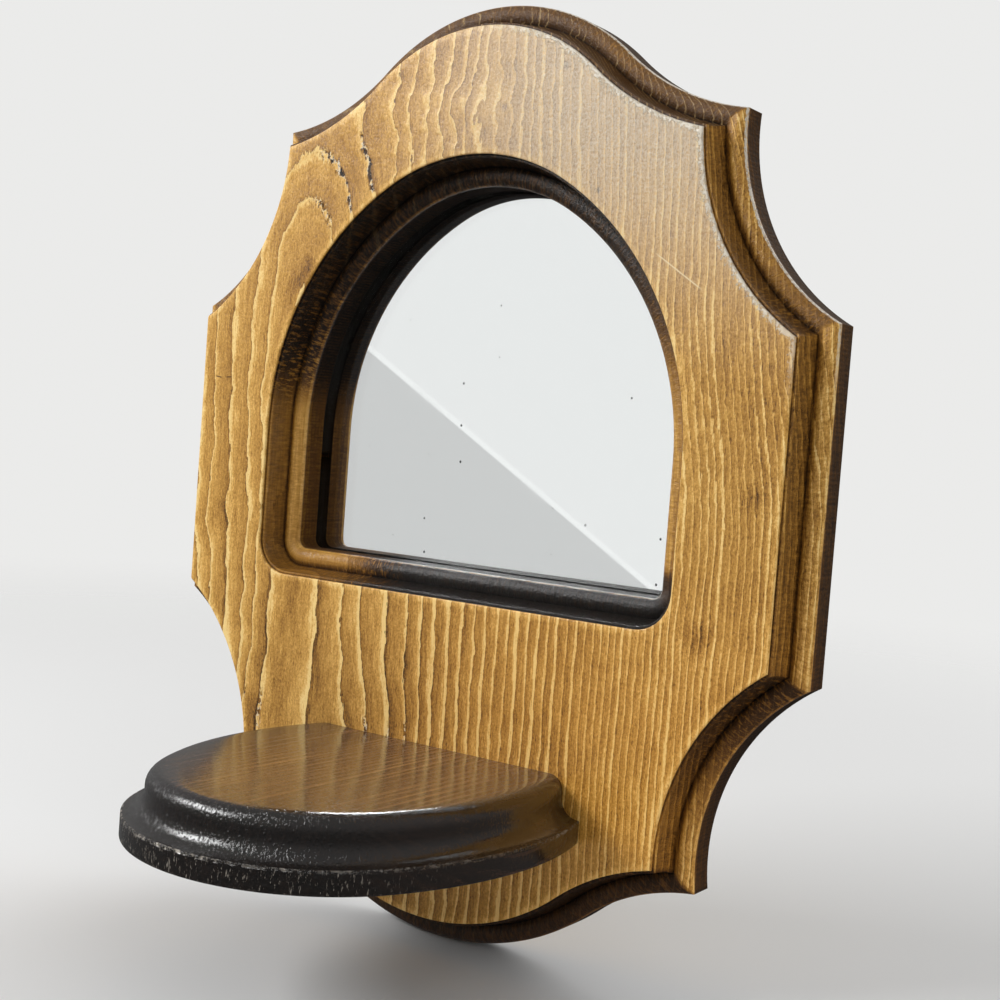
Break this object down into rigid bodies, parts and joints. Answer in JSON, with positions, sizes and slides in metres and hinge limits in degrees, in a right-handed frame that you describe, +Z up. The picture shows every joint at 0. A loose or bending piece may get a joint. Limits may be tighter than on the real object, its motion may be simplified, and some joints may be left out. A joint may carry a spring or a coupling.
{
  "type": "mirror with shelf",
  "caption": "Small wall mirror: shaped wooden board with a routed edge, an arched opening with the glass behind it, and a round-fronted shelf below.",
  "frame": {"origin": "where the hanger's middle notch sits on its nail, in the plane of the wall", "axes": "+Z up, +X to the right seen from the front, -Y out of the wall towards the viewer"},
  "size_m": [0.226, 0.1291, 0.281],
  "materials": {
    "board_wood": "stained pine under satin lacquer, end grain almost black-brown",
    "shelf_wood": "dark stained pine under glossy lacquer",
    "mirror_glass": "silvered float glass",
    "card": "plain grey card",
    "brassed_steel": "brass-plated",
    "zinc_steel": "zinc-plated",
    "rubber": "matt black"
  },
  "bodies": {
    "root": {"backboard": "board_wood", "shelf": "shelf_wood", "mirror_glass": "mirror_glass", "backing_card": "card", "clip_top_left": "brassed_steel", "clip_top_right": "brassed_steel", "clip_bottom_left": "brassed_steel", "clip_bottom_right": "brassed_steel", "clip_screws": "brassed_steel", "shelf_screws": "zinc_steel", "hanger": "brassed_steel", "hanger_nails": "zinc_steel", "buffer_top_left": "rubber", "buffer_top_right": "rubber", "buffer_bottom_left": "rubber", "buffer_bottom_right": "rubber"}
  },
  "joints": []
}
